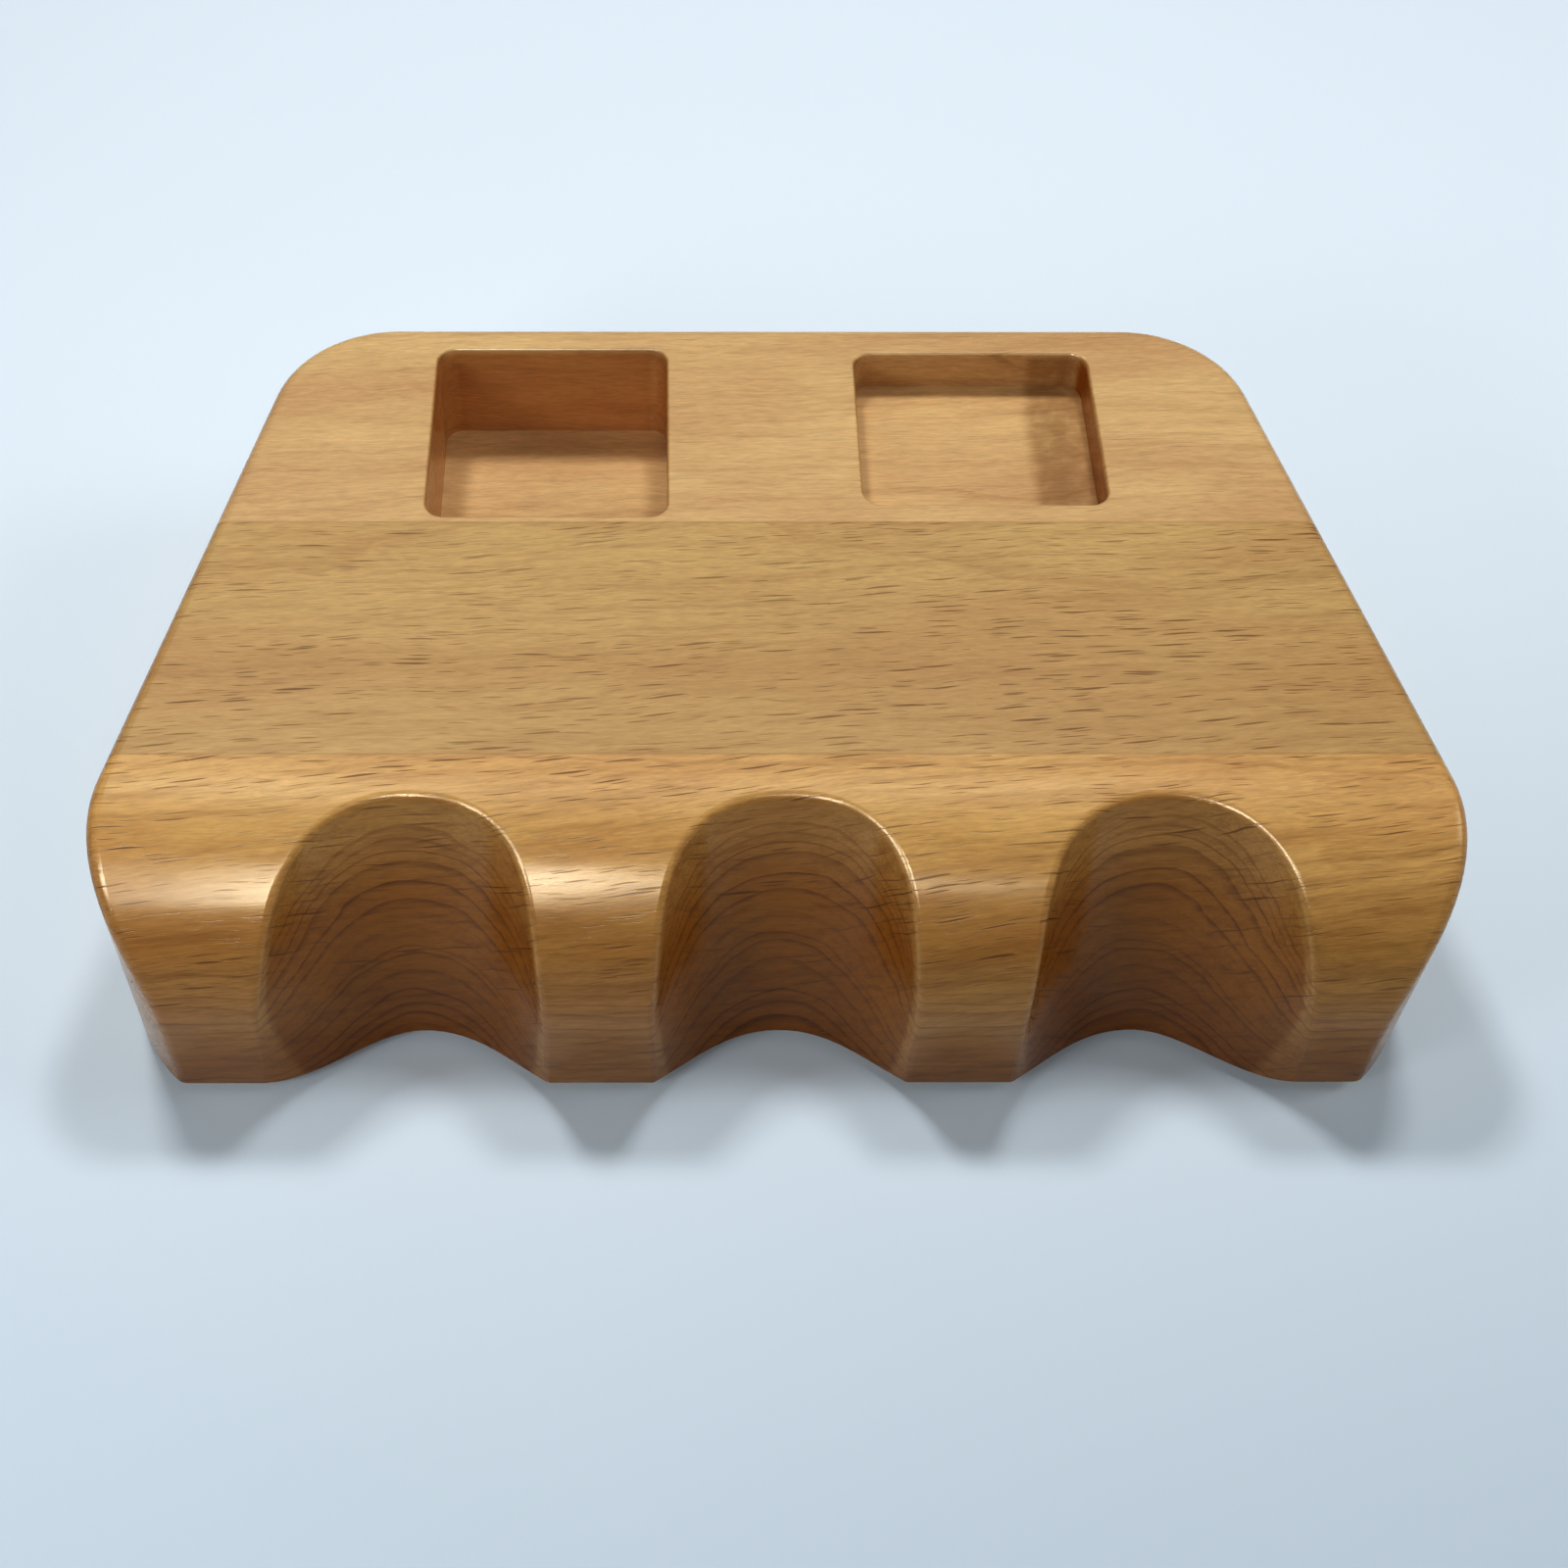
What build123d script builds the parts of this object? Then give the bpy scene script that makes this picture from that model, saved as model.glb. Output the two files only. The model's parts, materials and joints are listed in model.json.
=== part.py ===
from build123d import *

import os
from math import cos, radians, sin, tan

# Free-standing cue rest: a block glued up from three beech staves, with three cue
# scallops in its front, two chalk pockets in its top, a steel ballast bar let into its
# underside and a non-slip base pad.
# Millimetres, +Z up, table at Z = 0, front of the block at -Y, centre at X = Y = 0.

# Block
block_height = 28.0
block_depth = 79.5
front_width = 136.0      # where the side faces, carried on, would meet the front face
side_taper = 12.5        # degrees that each side leans in towards the back
front_corner_radius = 18.0
front_trim = 4.6         # planed off the front, through the round of its corners
back_corner_radius = 13.0
front_roundover = 17.5   # runs straight across the top front edge
edge_softening = 1.5

# Staves, each width counted from the front; the rear stave takes what is left
front_stave_width = 19.8
middle_stave_width = 30.0

# Cue scallops
scallop_pitch = 35.7
scallop_shift = 0.9      # of the whole row, towards +X
scallop_depth_base = 6.0
scallop_depth_top = 15.1
scallop_inner_width = 12.6       # centre line to ridge
scallop_outer_width_top = 13.8   # the same, on the two sides next to the corners
scallop_outer_width_base = 15.5
inner_flare = 32.0       # degrees between the foot of the flank and the front face
outer_flare = 4.0
rim_softening = 0.9

# How full a scallop's curve is: its handles, as shares of its width or depth
foot_handle = 0.38
inner_wall_handle = 0.66
outer_wall_handle = 0.5
shoulder_handle_base = 0.42
shoulder_handle_top = 0.66

# Chalk pockets: a deep square one on the left, a shallow one on the right
pocket_corner_radius = 1.9
pocket_rim_softening = 0.4
left_pocket_size = (25.0, 25.0)
left_pocket_depth = 12.3
left_pocket_back_wall = 3.8
left_pocket_x = -22.8
right_pocket_size = (25.5, 22.6)
right_pocket_depth = 4.8
right_pocket_back_wall = 4.5
right_pocket_x = 22.9

# Ballast bar, let into the underside of the middle stave and bedded in adhesive
ballast_length = 90.0
ballast_width = 22.0
ballast_thickness = 9.0
ballast_corner_radius = 3.0
ballast_edge_break = 0.5
ballast_clearance = 0.25  # at the sides and ends
ballast_cover = 0.5       # between the bar and the pad

# Base pad
pad_thickness = 1.5
pad_inset = 4.0
pad_corner_radius = 9.0

# Planes that the pieces share
wood_base = pad_thickness
top = wood_base + block_height
front = -block_depth / 2
back = block_depth / 2
front_joint = front + front_stave_width
rear_joint = front_joint + middle_stave_width
ballast_y = (front_joint + rear_joint) / 2

overcut = 1.0
tolerance = 0.01


def write(piece, name):
    piece.part.label = name
    export_step(piece.part, f"parts/{name}.step")


def between(low, high, share):
    return low + (high - low) * share


def half_width(y):
    """Half the block's width at a distance behind its middle, without its corners."""
    return front_width / 2 - (y - front) * tan(radians(side_taper))


def tapered_outline(front_y, back_y, side_inset, front_radius, back_radius):
    """Rounded plan whose sides lie an inset inside the block's."""
    step_in = side_inset / cos(radians(side_taper))
    front_half = half_width(front_y) - step_in
    back_half = half_width(back_y) - step_in
    with BuildSketch() as plan:
        with BuildLine():
            Polyline(
                (-front_half, front_y), (front_half, front_y),
                (back_half, back_y), (-back_half, back_y), close=True,
            )
        make_face()
        fillet(plan.vertices().group_by(Axis.Y)[0], front_radius)
        fillet(plan.vertices().group_by(Axis.Y)[-1], back_radius)
    return plan.sketch


def scallop_flank(x_centre, side, is_outer, share):
    """One side of a scallop's curve: its ridge, then the handles at its foot and shoulder."""
    base_width = scallop_outer_width_base if is_outer else scallop_inner_width
    top_width = scallop_outer_width_top if is_outer else scallop_inner_width
    flare = radians(outer_flare if is_outer else inner_flare)
    wall_handle = outer_wall_handle if is_outer else inner_wall_handle
    reach = foot_handle * base_width
    foot_x = between(base_width - reach * cos(flare), top_width, share)
    foot_y = between(reach * sin(flare), wall_handle * scallop_depth_top, share)
    shoulder = between(shoulder_handle_base, shoulder_handle_top, share)
    depth = between(scallop_depth_base, scallop_depth_top, share)
    return (
        (x_centre + side * between(base_width, top_width, share), front),
        (x_centre + side * foot_x, front + foot_y),
        (x_centre + side * shoulder * scallop_inner_width, front + depth),
    )


def scallop_section(x_centre, left_is_outer, right_is_outer, share):
    """Cut across a scallop's cutter, at a share of the block's height."""
    left = scallop_flank(x_centre, -1, left_is_outer, share)
    right = scallop_flank(x_centre, 1, right_is_outer, share)
    apex = (x_centre, front + between(scallop_depth_base, scallop_depth_top, share))
    clear_y = front - overcut
    with BuildSketch(Plane.XY.offset(wood_base + share * block_height)) as section:
        with BuildLine():
            Bezier(*left, apex)
            Bezier(apex, *reversed(right))
            Polyline(right[0], (right[0][0], clear_y), (left[0][0], clear_y), left[0])
        make_face()
    return section.sketch


def scallop_cutter(x_centre, left_is_outer, right_is_outer):
    past = overcut / block_height
    low = scallop_section(x_centre, left_is_outer, right_is_outer, -past)
    high = scallop_section(x_centre, left_is_outer, right_is_outer, 1 + past)
    with BuildPart() as cutter:
        loft([low, high], ruled=True)
    return cutter.part


def perimeter_edges(block):
    """Edges round the top, and down the creases where the roundover meets the corners."""
    top_face = block.faces().sort_by(Axis.Z)[-1]
    roundover = block.faces().filter_by(GeomType.CYLINDER).sort_by(SortBy.AREA)[-1]
    walls = block.faces().filter_by(
        lambda face: face.geom_type != GeomType.BSPLINE
        and face.bounding_box().size.Z > block_height / 2
        and face.bounding_box().max.Y > front + tolerance
        and face.area != roundover.area
    )
    lands = block.faces().sort_by(Axis.Y).group_by(Axis.Y)[0]
    wall_edges = ShapeList(edge for wall in walls for edge in wall.edges())
    fronts = [top_face, roundover, *lands]
    return wall_edges & ShapeList(edge for face in fronts for edge in face.edges())


def scallop_rims(block, count):
    """Edges that the scallops make with the front and the roundover."""
    cuts = block.faces().filter_by(GeomType.BSPLINE).sort_by(SortBy.AREA)[-count:]
    edges = ShapeList(edge for cut in cuts for edge in cut.edges())
    return edges.filter_by(lambda edge: edge.bounding_box().size.Z > tolerance)


def cut_pocket(block, place, size, depth):
    """A blind rounded pocket with a softened mouth, sunk from the top."""
    with BuildPart() as pocket:
        with BuildSketch(Plane(origin=place)):
            RectangleRounded(*size, pocket_corner_radius)
        extrude(amount=-depth)
    with block:
        add(pocket.part, mode=Mode.SUBTRACT)
        mouth = block.edges(Select.LAST).group_by(Axis.Z)[-1]
        fillet(mouth, pocket_rim_softening)


def make_block():
    """The glued-up block, shaped as one before it is taken as staves."""
    scallops = [
        scallop_cutter(scallop_shift - scallop_pitch, True, False),
        scallop_cutter(scallop_shift, False, False),
        scallop_cutter(scallop_shift + scallop_pitch, False, True),
    ]
    with BuildPart() as block:
        with BuildSketch(Plane.XY.offset(wood_base)):
            add(tapered_outline(
                front - front_trim, back, 0, front_corner_radius, back_corner_radius,
            ))
        extrude(amount=block_height)
        with BuildSketch(Plane.YZ) as side:
            with BuildLine():
                Polyline(
                    (front, wood_base), (back, wood_base),
                    (back, top), (front, top), close=True,
                )
            make_face()
            fillet(side.vertices().group_by(Axis.X)[0].sort_by(Axis.Y)[-1], front_roundover)
        extrude(amount=front_width / 2, both=True, mode=Mode.INTERSECT)
        add(scallops, mode=Mode.SUBTRACT)
        fillet(perimeter_edges(block), edge_softening)
        fillet(scallop_rims(block, len(scallops)), rim_softening)
        with BuildSketch(Plane.XY.offset(wood_base)):
            with Locations((0, ballast_y)):
                RectangleRounded(
                    ballast_length + 2 * ballast_clearance,
                    ballast_width + 2 * ballast_clearance,
                    ballast_corner_radius + ballast_clearance,
                )
        extrude(amount=ballast_cover + ballast_thickness, mode=Mode.SUBTRACT)
    left_y = back - left_pocket_back_wall - left_pocket_size[1] / 2
    right_y = back - right_pocket_back_wall - right_pocket_size[1] / 2
    cut_pocket(block, (left_pocket_x, left_y, top), left_pocket_size, left_pocket_depth)
    cut_pocket(block, (right_pocket_x, right_y, top), right_pocket_size, right_pocket_depth)
    return block


def make_stave(block, near, far):
    """The part of the block between two upright planes across it."""
    with BuildPart() as stave:
        add(block.part)
        split(bisect_by=Plane.XZ.offset(-near), keep=Keep.BOTTOM)
        split(bisect_by=Plane.XZ.offset(-far), keep=Keep.TOP)
    return stave


def make_ballast():
    with BuildPart() as bar:
        with BuildSketch(Plane.XY.offset(wood_base + ballast_cover)):
            with Locations((0, ballast_y)):
                RectangleRounded(ballast_length, ballast_width, ballast_corner_radius)
        extrude(amount=ballast_thickness)
        chamfer(bar.faces().sort_by(Axis.Z)[0].edges(), ballast_edge_break)
        chamfer(bar.faces().sort_by(Axis.Z)[-1].edges(), ballast_edge_break)
    return bar


def make_pad():
    """Trapezoid that stays inside the block's sides and behind the scallops."""
    pad_front = front + scallop_depth_base + pad_inset
    pad_back = back - pad_inset
    with BuildPart() as pad:
        with BuildSketch():
            add(tapered_outline(
                pad_front, pad_back, pad_inset, pad_corner_radius, pad_corner_radius,
            ))
        extrude(amount=pad_thickness)
    return pad


os.makedirs("parts", exist_ok=True)
block = make_block()
write(make_stave(block, front - overcut, front_joint), "front_stave")
write(make_stave(block, front_joint, rear_joint), "middle_stave")
write(make_stave(block, rear_joint, back + overcut), "rear_stave")
write(make_ballast(), "ballast_bar")
write(make_pad(), "base_pad")
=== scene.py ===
import json
from functools import partial
from math import radians

import bpy
from mathutils import Euler, Matrix, Vector


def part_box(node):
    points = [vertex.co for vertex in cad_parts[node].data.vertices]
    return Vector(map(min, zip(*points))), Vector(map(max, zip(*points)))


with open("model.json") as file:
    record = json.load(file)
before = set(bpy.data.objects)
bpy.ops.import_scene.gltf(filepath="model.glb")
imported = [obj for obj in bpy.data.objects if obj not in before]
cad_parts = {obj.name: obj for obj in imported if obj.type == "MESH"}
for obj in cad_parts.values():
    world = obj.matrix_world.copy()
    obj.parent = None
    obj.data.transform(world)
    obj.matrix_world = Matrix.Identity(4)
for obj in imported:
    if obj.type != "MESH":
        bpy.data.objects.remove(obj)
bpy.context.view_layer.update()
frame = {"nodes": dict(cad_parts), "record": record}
openings = {o["name"]: o["box_m"] for o in frame["record"]["physics"]["openings"]}
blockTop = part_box("rear_stave")[1].z
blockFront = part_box("front_stave")[0].y
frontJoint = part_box("middle_stave")[0].y
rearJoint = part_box("middle_stave")[1].y
mm = 1000.0     # millimetres in a metre
print("frame loaded")


def hexColor(code):
    channels = [int(code[i:i + 2], 16) / 255 for i in (1, 3, 5)]
    linear = [c / 12.92 if c <= 0.04045 else ((c + 0.055) / 1.055) ** 2.4 for c in channels]
    return (*linear, 1.0)


# Inputs are given by name, or as a list from the first socket down. A node given as an
# input stands for its first live output.
def addNode(tree, kind, inputs, **settings):
    node = tree.nodes.new("ShaderNode" + kind)
    for name, value in settings.items():
        setattr(node, name, value)
    sockets = inputs.items() if isinstance(inputs, dict) else enumerate(inputs)
    for name, value in sockets:
        if isinstance(value, bpy.types.Node):
            value = next(output for output in value.outputs if output.enabled)
        if isinstance(value, bpy.types.NodeSocket):
            tree.links.new(value, node.inputs[name])
        else:
            node.inputs[name].default_value = value
    return node


def newMaterial(name):
    material = bpy.data.materials.new(name)
    material.use_nodes = True
    material.node_tree.nodes.clear()
    return material, partial(addNode, material.node_tree)


# Each layer of colour is a mask, its strength, the colour and how it is laid on
def layColors(add, color, layers):
    for mask, strength, code, way in layers:
        share = add("Math", [mask, strength], operation="MULTIPLY")
        color = add("Mix", {0: share, 6: color, 7: hexColor(code)}, data_type="RGBA",
                    blend_type=way)
    return color


soft = {"interpolation_type": "SMOOTHSTEP"}     # a Map Range that eases in and out

# Steamed beech, edge-glued, planed and sanded: pinkish tan, with thin darker lines of late
# wood and short brown dashes where the rays are cut across. Sizes are in millimetres.
# The ring angle leans the way out through the growth rings from straight up to the front,
# and the slope is how far the grain runs out across the stave, both in degrees.
beech = {
    "front_stave": {
        "early": "#D6A866", "blush": "#CB985C", "late": "#92602E", "fleck": "#5E3412",
        "ringAngle": 32.0, "slope": 5.5, "pith": 160.0, "ringWidth": 1.15,
        "ringStrength": 0.55, "fleckAmount": 0.95, "fleckStrength": 0.9,
        "shift": (13.0, 4.0, 2.0), "dusk": 0.0, "rayWidth": 0.75,
    },
    "middle_stave": {
        "early": "#C9A469", "blush": "#BF955F", "late": "#A07444", "fleck": "#6A401C",
        "ringAngle": 20.0, "slope": 3.6, "pith": 120.0, "ringWidth": 2.4,
        "ringStrength": 0.3, "fleckAmount": 0.9, "fleckStrength": 0.85,
        "shift": (-31.0, 9.0, 5.0), "dusk": 0.25, "rayWidth": 1.0,
    },
    "rear_stave": {
        "early": "#DDB67E", "blush": "#CCA06E", "late": "#B08252", "fleck": "#80532C",
        "ringAngle": -14.0, "slope": 2.5, "pith": 70.0, "ringWidth": 3.0,
        "ringStrength": 0.4, "fleckAmount": 0.5, "fleckStrength": 0.32,
        "shift": (47.0, -6.0, 8.0), "dusk": 0.0, "rayWidth": 1.0,
    },
}

# The wood's own patterns: how closely each repeats along the grain, across it and out
# through the rings, per millimetre. The sway is how far the first two bend the grain.
grain = {
    "drift": {"pace": (0.02, 0.045, 0.045), "detail": 3.0, "roughness": 0.45,
              "sway": (0.0, 5.0, 5.0)},
    "waver": {"pace": (0.09, 0.22, 0.22), "detail": 2.0, "roughness": 0.5,
              "sway": (0.0, 0.9, 1.3)},
    "streak": {"pace": (0.06, 1.1, 0.7), "detail": 4.0, "roughness": 0.6},
    "thread": {"pace": (0.5, 5.5, 4.0), "detail": 2.0, "roughness": 0.65},
    "cloud": {"pace": (0.025, 0.09, 0.09), "detail": 2.0, "roughness": 0.5},
}


def grainPattern(add, wood, pattern):
    look = grain[pattern]
    point = add("VectorMath", [wood, look["pace"]], operation="MULTIPLY")
    return add("TexNoise", {"Vector": point, "Scale": 1.0, "Detail": look["detail"],
                            "Roughness": look["roughness"]})


# Turns object coordinates to the stave's own axes, in millimetres, and lets them wander
def woodAxes(add, place, look):
    turned = add("Mapping", {
        "Vector": place, "Scale": (mm, mm, mm), "Location": look["shift"],
        "Rotation": (radians(-look["ringAngle"]), 0.0, radians(-look["slope"]))})
    wood = turned
    for pattern in ("drift", "waver"):
        bend = grainPattern(add, turned, pattern).outputs["Color"]
        wood = add("VectorMath", [bend, grain[pattern]["sway"], wood],
                   operation="MULTIPLY_ADD")
    return wood


# When in its year a ring darkens and ends, as shares of the year, and how the years vary
rings = {"darkensFrom": 0.6, "darkest": 0.93, "ends": 0.95, "weakest": 0.15,
         "uneven": 2.4, "unevenPace": 0.35}


# Each year's ring ends in a thin darker line of late wood, stronger in some years
def lateWood(add, wood, look):
    axes = add("SeparateXYZ", [wood])
    outward = add("Math", [axes.outputs["Z"], look["pith"]], operation="ADD")
    across = add("Math", [axes.outputs["Y"], axes.outputs["Y"]], operation="MULTIPLY")
    radius = add("Math", [outward, outward, across], operation="MULTIPLY_ADD")
    radius = add("Math", [radius], operation="SQRT")
    years = add("Math", [radius, look["ringWidth"]], operation="DIVIDE")
    uneven = add("TexNoise", {"W": years, "Scale": rings["unevenPace"], "Detail": 2.0},
                 noise_dimensions="1D")
    years = add("Math", [uneven, rings["uneven"], years], operation="MULTIPLY_ADD")
    season = add("Math", [years], operation="FRACT")
    year = add("Math", [years], operation="FLOOR")
    chance = add("TexWhiteNoise", {"W": year}, noise_dimensions="1D")
    vigour = add("MapRange", [chance, 0.0, 1.0, rings["weakest"], 1.0], **soft)
    darkens = add("MapRange", [season, rings["darkensFrom"], rings["darkest"]], **soft)
    ends = add("MapRange", [season, 1.0, rings["ends"]], **soft)
    late = add("Math", [darkens, ends], operation="MULTIPLY")
    return add("Math", [late, vigour], operation="MULTIPLY")


# The spacing of the rays, and half a ray's size, in millimetres: along the grain, across it
# and outwards
rays = [
    {"cell": (5.8, 0.75, 13.0), "half": (2.5, 0.14, 6.0), "seed": 0.0, "strength": 1.0},
    {"cell": (3.4, 0.44, 9.0), "half": (1.5, 0.09, 4.2), "seed": 17.0, "strength": 0.85},
]


def rayLayer(add, wood, ray, look):
    seed, amount = ray["seed"], look["fleckAmount"]
    pace = [1 / size for size in ray["cell"]]
    point = add("VectorMath", [wood, pace, (seed, seed * 2, -seed)], operation="MULTIPLY_ADD")
    cell = add("TexVoronoi", {"Vector": point, "Scale": 1.0, "Randomness": 1.0})
    chance = add("SeparateColor", [cell.outputs["Color"]])
    offset = add("VectorMath", [point, cell.outputs["Position"]], operation="SUBTRACT")
    shares = [size / half for size, half in zip(ray["cell"], ray["half"])]
    offset = add("VectorMath", [offset, shares], operation="MULTIPLY")
    axes = add("SeparateXYZ", [offset])
    along = add("Math", [axes.outputs["X"], axes.outputs["X"]], operation="MULTIPLY")
    around = add("Math", [axes.outputs["Z"], axes.outputs["Z"], along],
                 operation="MULTIPLY_ADD")
    size = add("MapRange", [chance.outputs["Green"], 0.0, 1.0, 0.45, 1.1], **soft)
    lens = add("Math", [size, around], operation="SUBTRACT")    # pointed at both ends
    beside = add("Math", [axes.outputs["Y"]], operation="ABSOLUTE")
    beside = add("Math", [beside, look["rayWidth"]], operation="DIVIDE")
    lens = add("Math", [lens, beside], operation="SUBTRACT")
    lens = add("MapRange", [lens, 0.0, 0.55], **soft)
    present = add("MapRange", [chance.outputs["Red"], 1.0 - amount, 1.35 - amount], **soft)
    lens = add("Math", [lens, present], operation="MULTIPLY")
    return add("Math", [lens, ray["strength"]], operation="MULTIPLY")


# The front's rolled face, and how far the row of scallops reaches either side of its
# middle. The scallops begin a little way below the rolled face.
scallops = {"roll": 0.0175, "middle": 0.0009, "reach": 0.0512, "edge": 0.0008,
            "shallow": 0.0003, "deep": 0.0014, "paleTop": 0.012}


# Marks the scallops, for their laid-open rings and for their painted shade
def scallopMask(add, spot):
    roll, reach, edge = scallops["roll"], scallops["reach"], scallops["edge"]
    behind = add("Math", [spot.outputs["Y"], blockFront + roll], operation="SUBTRACT")
    behind = add("Math", [behind, 0.0], operation="MINIMUM")
    above = add("Math", [spot.outputs["Z"], blockTop - roll], operation="SUBTRACT")
    above = add("Math", [above, 0.0], operation="MAXIMUM")
    outward = add("Math", [behind, behind], operation="MULTIPLY")
    outward = add("Math", [above, above, outward], operation="MULTIPLY_ADD")
    outward = add("Math", [outward], operation="SQRT")
    depth = add("Math", [roll, outward], operation="SUBTRACT")
    beside = add("Math", [spot.outputs["X"], scallops["middle"]], operation="SUBTRACT")
    beside = add("Math", [beside], operation="ABSOLUTE")
    below = add("MapRange", [depth, scallops["shallow"], scallops["deep"]], **soft)
    within = add("MapRange", [beside, reach + edge, reach - edge], **soft)
    mask = add("Math", [below, within], operation="MULTIPLY")
    # Painted light: the mask eases off towards the block's top, so the scallops' tops are
    # lighter
    fade = add("MapRange", [spot.outputs["Z"], blockTop, blockTop - scallops["paleTop"],
                            0.4, 1.0], **soft)
    return add("Math", [mask, fade], operation="MULTIPLY")


# Soaked oil and painted shade on a pocket's walls, more on its right wall, and a painted
# shadow with patchy edges on its floor beside that wall and along its back.
# The edges of these patches are in metres.
pockets = {
    "left_chalk_pocket": {"walls": 0.6, "rightWall": 0.6, "pool": 0.0},
    "right_chalk_pocket": {"walls": 0.1, "rightWall": 1.0, "pool": 1.0},
}
pocketEdges = {"rim": 0.0002, "belowRim": 0.001, "past": 0.002, "toWall": 0.0007,
               "poolFrom": 0.0065, "poolTo": 0.0045, "poolBack": 0.004, "blotch": 450.0}


# Gives what lies inside the pockets, the soaked oil and painted shade on their walls, and the
# painted shadow on their floors
def pocketMasks(add, place, spot):
    edges = pocketEdges
    blotch = add("TexNoise", {"Vector": place, "Scale": edges["blotch"], "Detail": 3.0})
    inPocket, wallOilAndShade, pool = 0.0, 0.0, 0.0
    for pocket, oilAndShade in pockets.items():
        low, high = openings[pocket]
        inside = add("MapRange", [spot.outputs["Z"], blockTop - edges["rim"],
                                  blockTop - edges["belowRim"]], **soft)
        for axis, letter in enumerate("XY"):
            middle = (low[axis] + high[axis]) / 2
            reach = (high[axis] - low[axis]) / 2 + edges["past"]
            beside = add("Math", [spot.outputs[letter], middle], operation="SUBTRACT")
            beside = add("Math", [beside], operation="ABSOLUTE")
            beside = add("Math", [beside, reach], operation="LESS_THAN")
            inside = add("Math", [beside, inside], operation="MULTIPLY")
        inPocket = add("Math", [inside, inPocket], operation="ADD")
        # Soaked oil and painted shade on the walls, strongest on the right wall
        onWall = add("MapRange", [spot.outputs["X"], high[0], high[0] + edges["toWall"],
                                  oilAndShade["walls"], oilAndShade["rightWall"]], **soft)
        wallOilAndShade = add("Math", [inside, onWall, wallOilAndShade], operation="MULTIPLY_ADD")
        # Painted shadow on the floor beside the right wall and along the back wall
        nearRight = add("MapRange", [spot.outputs["X"], high[0] - edges["poolFrom"],
                                     high[0] - edges["poolTo"]], **soft)
        nearBack = add("MapRange", [spot.outputs["Y"], high[1] - edges["poolBack"], high[1],
                                    0.0, 0.35], **soft)
        shadeMask = add("Math", [nearRight, nearBack], operation="MAXIMUM")
        patchy = add("MapRange", [blotch, 0.25, 0.6, 0.45 * oilAndShade["pool"], oilAndShade["pool"]], **soft)
        shadeMask = add("Math", [shadeMask, patchy], operation="MULTIPLY")
        pool = add("Math", [inside, shadeMask, pool], operation="MULTIPLY_ADD")
    return inPocket, wallOilAndShade, pool


# Satin oil-varnish, buffed on the curves and duller on the flat top: a soft warm gleam.
# Wood cut across its grain soaks up more and goes browner. Painted shade darkens the front
# faces and the scallops, and the front faces more towards the foot.
varnish = {
    "soaked": "#BC9238", "foot": "#94662E", "footFrom": 0.022, "footTo": 0.003,
    "pocketWall": "#D89C42", "pool": "#B39A78", "glueLine": "#7A4F2A",
    "glueWide": 0.0002, "glueThin": 0.00004, "buffed": 0.13, "flat": 0.32,
    "IOR": 1.48, "level": 0.4, "tint": "#FFF0D2", "bump": 0.35, "bumpHeight": 0.00003,
}


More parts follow.
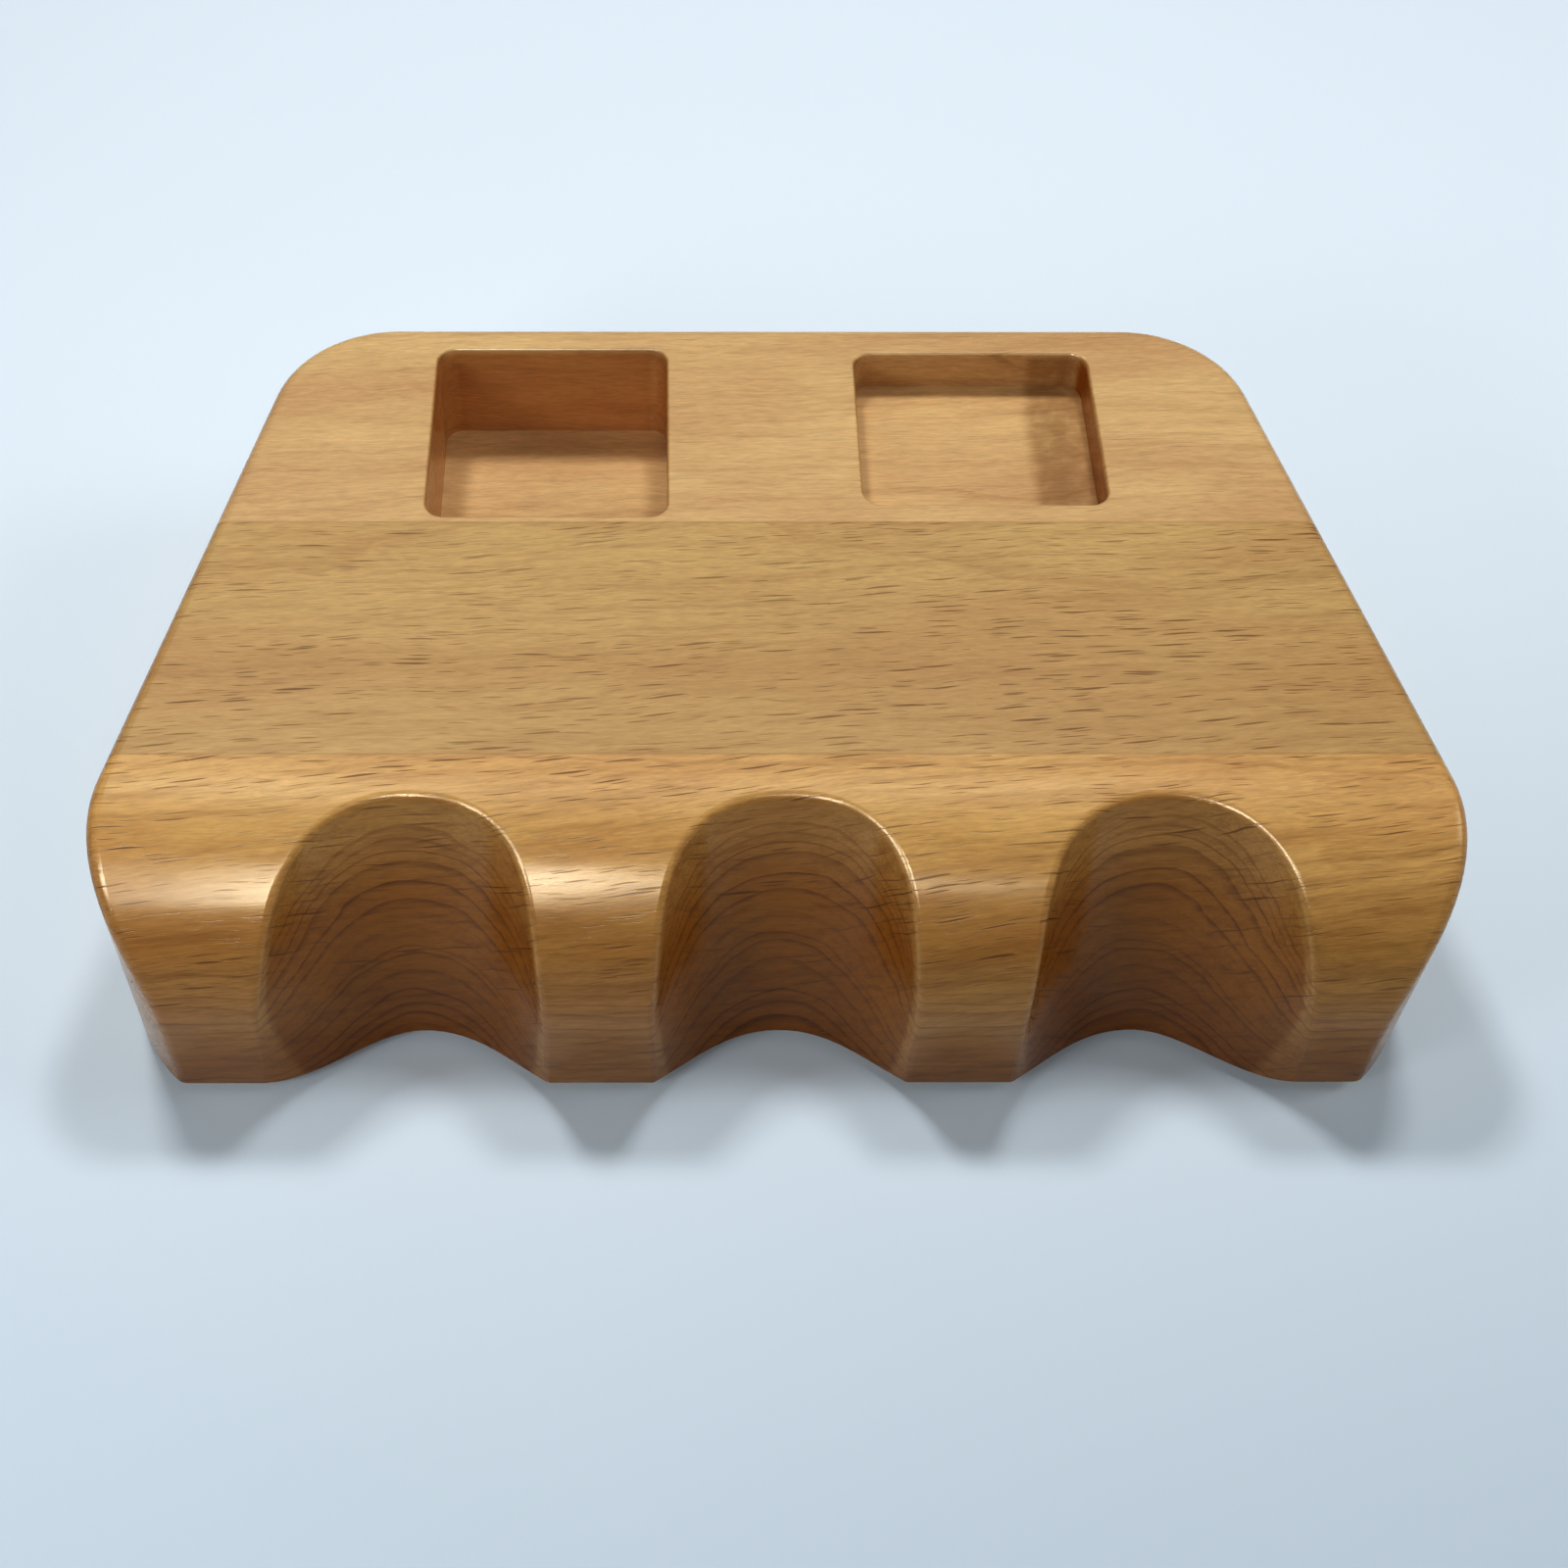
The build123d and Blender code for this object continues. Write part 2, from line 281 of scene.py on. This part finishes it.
def beechMaterial(name, look):
    material, add = newMaterial("steamedBeech_" + name.split("_")[0])
    coordinates = add("TexCoord", {})
    place = coordinates.outputs["Object"]
    spot = add("SeparateXYZ", [place])
    facing = add("SeparateXYZ", [coordinates.outputs["Normal"]])

    wood = woodAxes(add, place, look)
    late = lateWood(add, wood, look)
    streak, thread, cloud = (grainPattern(add, wood, p) for p in ("streak", "thread", "cloud"))
    flecks = [rayLayer(add, wood, ray, look) for ray in rays]
    flecks = add("Math", flecks, operation="MAXIMUM")

    # Bare wood: blushes, streaks, the late wood's lines and the finest fibres
    blush = add("MapRange", [cloud, 0.3, 0.7], **soft)
    streaks = add("MapRange", [streak, 0.38, 0.78], **soft)
    color = layColors(add, hexColor(look["early"]), [
        (blush, 1.0, look["blush"], "MIX"),
        (streaks, 0.45, look["late"], "MIX"),
        (late, look["ringStrength"], look["late"], "MIX"),
    ])
    fibre = add("MapRange", [thread, 0.2, 0.8, 0.84, 1.12], **soft)
    color = add("VectorMath", {0: color, "Scale": fibre}, operation="SCALE")

    # Where the oil goes, and where shade is painted in
    frontShade, hollow = 0.0, 0.0
    if name == "front_stave":
        # Painted shade on the faces turned to the front
        frontShade = add("MapRange", [facing.outputs["Y"], -0.35, -0.9], **soft)
        hollow = scallopMask(add, spot)
    inPocket, wallOilAndShade, pool = 0.0, 0.0, 0.0
    if name == "rear_stave":
        inPocket, wallOilAndShade, pool = pocketMasks(add, place, spot)
    sideways = add("Math", [facing.outputs["X"]], operation="ABSOLUTE")
    endGrain = add("MapRange", [sideways, 0.3, 0.9, 0.0, 0.6], **soft)
    # End grain darkens with soaked oil; the front faces and the scallops get painted shade
    soaked = add("Math", [frontShade, 0.55], operation="MULTIPLY")
    for deeper in (endGrain, hollow):
        soaked = add("Math", [soaked, deeper], operation="MAXIMUM")
    outside = add("Math", [1.0, inPocket], operation="SUBTRACT")
    soaked = add("Math", [soaked, outside], operation="MULTIPLY")
    # Painted shade: the front faces darker towards the foot
    foot = add("MapRange", [spot.outputs["Z"], varnish["footFrom"], varnish["footTo"]], **soft)
    foot = add("Math", [foot, frontShade], operation="MULTIPLY")
    tilt = add("Math", [facing.outputs["Z"]], operation="ABSOLUTE")
    upright = add("MapRange", [tilt, 0.75, 0.2], **soft)
    wallOilAndShade = add("Math", [wallOilAndShade, upright], operation="MULTIPLY")

    dusk = add("MapRange", [spot.outputs["Y"], rearJoint, frontJoint], **soft)
    laidOpen = add("MapRange", [streak, 0.35, 0.6, 0.15, 0.55], **soft)
    laidOpen = add("Math", [laidOpen, late], operation="MULTIPLY")
    laidOpen = add("Math", [laidOpen, hollow], operation="MULTIPLY")
    shown = add("MapRange", [cloud, 0.32, 0.62, 0.6, 1.0], **soft)
    shown = add("Math", [shown, flecks], operation="MULTIPLY")
    layers = [
        (dusk, look["dusk"], look["late"], "MIX"),      # browner towards the front joint
        (soaked, 0.9, varnish["soaked"], "MULTIPLY"),
        (laidOpen, 1.0, look["fleck"], "MIX"),          # rings laid open in the scallops
        (foot, 0.6, varnish["foot"], "MULTIPLY"),
        (wallOilAndShade, 1.0, varnish["pocketWall"], "MULTIPLY"),
        (pool, 0.65, varnish["pool"], "MULTIPLY"),
        (shown, look["fleckStrength"], look["fleck"], "MIX"),
    ]
    low, high = (corner.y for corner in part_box(name))
    for joint in (frontJoint, rearJoint):
        if low - 1 / mm < joint < high + 1 / mm:
            gap = add("Math", [spot.outputs["Y"], joint], operation="SUBTRACT")
            gap = add("Math", [gap], operation="ABSOLUTE")
            line = add("MapRange", [gap, varnish["glueWide"], varnish["glueThin"]], **soft)
            layers.append((line, 0.22, varnish["glueLine"], "MIX"))
    color = layColors(add, color, layers)

    gloss = add("MapRange", [facing.outputs["Z"], 0.9, 0.99, varnish["buffed"],
                             varnish["flat"]], **soft)
    rough = add("Math", [streak, 0.14, gloss], operation="MULTIPLY_ADD")
    rough = add("Math", [flecks, 0.12, rough], operation="MULTIPLY_ADD")
    height = add("Math", [thread, 0.5], operation="MULTIPLY")
    height = add("Math", [flecks, -0.9, height], operation="MULTIPLY_ADD")
    bump = add("Bump", {"Height": height, "Strength": varnish["bump"],
                        "Distance": varnish["bumpHeight"]})
    shader = add("BsdfPrincipled", {
        "Base Color": color, "Roughness": rough, "Normal": bump, "IOR": varnish["IOR"],
        "Specular IOR Level": varnish["level"], "Specular Tint": hexColor(varnish["tint"])})
    add("OutputMaterial", {"Surface": shader})
    return material


# Cold-drawn mild steel bar: fine bright lines drawn along it, under a faint blue-grey oxide
steel = {"bright": "#8C8D8F", "oxide": "#6A6C70", "smooth": 0.26, "drawn": 0.25,
         "drawnPace": (40.0, 4000.0, 4000.0), "patch": 90.0, "bump": 0.3,
         "bumpHeight": 0.00003}


def steelMaterial():
    material, add = newMaterial("coldDrawnSteel")
    place = add("TexCoord", {}).outputs["Object"]
    drawn = add("Mapping", {"Vector": place, "Scale": steel["drawnPace"]})
    drawn = add("TexNoise", {"Vector": drawn, "Scale": 1.0, "Detail": 3.0})
    patch = add("TexNoise", {"Vector": place, "Scale": steel["patch"], "Detail": 4.0})
    oxide = add("MapRange", [patch, 0.4, 0.65], **soft)
    color = layColors(add, hexColor(steel["bright"]), [(oxide, 1.0, steel["oxide"], "MIX")])
    rough = add("Math", [drawn, steel["drawn"], steel["smooth"]], operation="MULTIPLY_ADD")
    bump = add("Bump", {"Height": drawn, "Strength": steel["bump"],
                        "Distance": steel["bumpHeight"]})
    shader = add("BsdfPrincipled", {
        "Base Color": color, "Roughness": rough, "Normal": bump, "Metallic": 1.0})
    add("OutputMaterial", {"Surface": shader})
    return material


# Die-cut nitrile rubber sheet: matt charcoal, finely pebbled, with a little dust on it
rubber = {"face": "#2B2B2D", "dust": "#3A3936", "pebble": 0.9, "dustScale": 60.0,
          "smooth": 0.62, "dusty": 0.2, "bump": 0.5, "bumpHeight": 0.00015, "IOR": 1.52}


def rubberMaterial():
    material, add = newMaterial("nitrileSheet")
    place = add("TexCoord", {}).outputs["Object"]
    pebble = add("TexVoronoi", {"Vector": place, "Scale": mm / rubber["pebble"]},
                 feature="SMOOTH_F1")
    dust = add("TexNoise", {"Vector": place, "Scale": rubber["dustScale"], "Detail": 5.0})
    dusted = add("MapRange", [dust, 0.45, 0.75], **soft)
    color = layColors(add, hexColor(rubber["face"]), [(dusted, 1.0, rubber["dust"], "MIX")])
    rough = add("Math", [dust, rubber["dusty"], rubber["smooth"]], operation="MULTIPLY_ADD")
    bump = add("Bump", {"Height": pebble, "Strength": rubber["bump"],
                        "Distance": rubber["bumpHeight"]}, invert=True)
    shader = add("BsdfPrincipled", {
        "Base Color": color, "Roughness": rough, "Normal": bump, "IOR": rubber["IOR"]})
    add("OutputMaterial", {"Surface": shader})
    return material


def dress(node, material):
    piece = frame["nodes"][node]
    piece.data.materials.clear()
    piece.data.materials.append(material)


for name, look in beech.items():
    dress(name, beechMaterial(name, look))
dress("ballast_bar", steelMaterial())
dress("base_pad", rubberMaterial())
print("materials done")

# A pale painted table, a pale paper wall round it, and small lamps on all sides
room = {
    "table": "#E9F3FA", "tableNear": "#BCCAD4", "nearFrom": 0.08, "nearTo": -0.14,
    "tableSize": 6.0, "sky": "#DCEBF7", "skyStrength": 0.08,
    "wallRadius": 2.9, "wallHeight": 6.0, "farGlow": 0.62, "glowFrom": 0.24, "glowTo": 0.8,
    "lampColor": (0.96, 0.98, 1.0),
    "lamps": {
        "rearRight": {"place": (0.10, 0.26, 0.62), "size": (0.09, 0.09), "power": 1.15},
        "rearLeft": {"place": (-0.16, 0.26, 0.60), "size": (0.09, 0.09), "power": 1.4},
        "right": {"place": (0.46, 0.02, 0.36), "size": (0.2, 0.2), "power": 0.55},
        "front": {"place": (0.04, -0.48, 0.58), "size": (0.2, 0.1), "power": 0.65},
        "frontLeft": {"place": (-0.17, -0.15, 0.15), "size": (0.07, 0.07), "power": 0.11},
        "glint": {"place": (-0.12, -0.46, 0.56), "size": (0.14, 0.3), "power": 3.5,
                  "glossOnly": True},
        "glintLeft": {"place": (-0.38, -0.38, 0.5), "size": (0.14, 0.3), "power": 2.6,
                      "glossOnly": True},
    },
}


def makeTable():
    bpy.ops.object.select_all(action="DESELECT")
    bpy.ops.mesh.primitive_plane_add(size=room["tableSize"], location=(0, 0, 0))
    table = bpy.context.active_object
    table.name = "table"
    material, add = newMaterial("paintedTable")
    place = add("TexCoord", {}).outputs["Object"]
    spot = add("SeparateXYZ", [place])
    mottle = add("TexNoise", {"Vector": place, "Scale": 9.0, "Detail": 3.0})
    rough = add("Math", [mottle, 0.15, 0.5], operation="MULTIPLY_ADD")
    # Painted shade: the table darkens towards the front
    shadeMask = add("MapRange", [spot.outputs["Y"], room["nearFrom"], room["nearTo"]], **soft)
    color = layColors(add, hexColor(room["table"]), [(shadeMask, 1.0, room["tableNear"], "MIX")])
    # Painted light: beyond the reach of the lamps the table itself glows, more with distance,
    # and so fades into the wall
    away = add("VectorMath", [place], operation="LENGTH")
    glow = add("MapRange", [away, room["glowFrom"], room["glowTo"], 0.0, room["farGlow"]],
               **soft)
    shader = add("BsdfPrincipled", {
        "Base Color": color, "Roughness": rough, "Emission Color": hexColor(room["table"]),
        "Emission Strength": glow})
    add("OutputMaterial", {"Surface": shader})
    table.data.materials.append(material)


# Only the backdrop to a low view: it neither lights the block nor shades it
def makeWall():
    bpy.ops.object.select_all(action="DESELECT")
    bpy.ops.mesh.primitive_cylinder_add(
        vertices=96, radius=room["wallRadius"], depth=room["wallHeight"],
        end_fill_type="NOTHING", location=(0, 0, 0))
    wall = bpy.context.active_object
    wall.name = "wall"
    wall.visible_diffuse = wall.visible_glossy = wall.visible_shadow = False
    material, add = newMaterial("paperWall")
    glow = add("Emission", {"Color": hexColor(room["table"]), "Strength": room["farGlow"]})
    add("OutputMaterial", {"Surface": glow})
    wall.data.materials.append(material)


def makeSky():
    world = bpy.data.worlds.new("sky")
    bpy.context.scene.world = world
    world.use_nodes = True
    world.node_tree.nodes.clear()
    add = partial(addNode, world.node_tree)
    sky = add("Background", {"Color": hexColor(room["sky"]), "Strength": room["skyStrength"]})
    add("OutputWorld", {"Surface": sky})


def makeLamp(name, lamp):
    light = bpy.data.lights.new(name, "AREA")
    light.shape = "RECTANGLE"
    light.size, light.size_y = lamp["size"]
    light.energy = lamp["power"]
    light.color = room["lampColor"]
    holder = bpy.data.objects.new(name, light)
    holder.visible_diffuse = not lamp.get("glossOnly")      # only a gleam on the varnish
    holder.location = lamp["place"]
    holder.rotation_euler = (-Vector(lamp["place"])).to_track_quat("-Z", "Y").to_euler()
    bpy.context.scene.collection.objects.link(holder)


makeTable()
makeWall()
makeSky()
for name, lamp in room["lamps"].items():
    makeLamp(name, lamp)

# Camera: a normal lens, close up, looking down on the front
camera = {"place": (-0.01072, -0.14628, 0.1948), "pitch": 53.4, "yaw": -0.57, "roll": 0.43,
          "focalShare": 1.401, "sensor": 36.0, "shift": 0.06875, "nearest": 0.01}


def makeCamera():
    data = bpy.data.cameras.new("camera")
    data.sensor_width = camera["sensor"]
    data.lens = camera["sensor"] * camera["focalShare"]
    data.shift_x = camera["shift"]
    data.clip_start = camera["nearest"]
    eye = bpy.data.objects.new("camera", data)
    look = Euler((radians(90 - camera["pitch"]), 0.0, radians(camera["yaw"]))).to_matrix()
    look = look @ Matrix.Rotation(radians(camera["roll"]), 3, "Z")
    eye.matrix_world = Matrix.Translation(camera["place"]) @ look.to_4x4()
    bpy.context.scene.collection.objects.link(eye)
    bpy.context.scene.camera = eye


makeCamera()
bpy.context.scene.view_settings.view_transform = "Standard"
bpy.context.scene.view_settings.look = "Medium High Contrast"
print("room done")
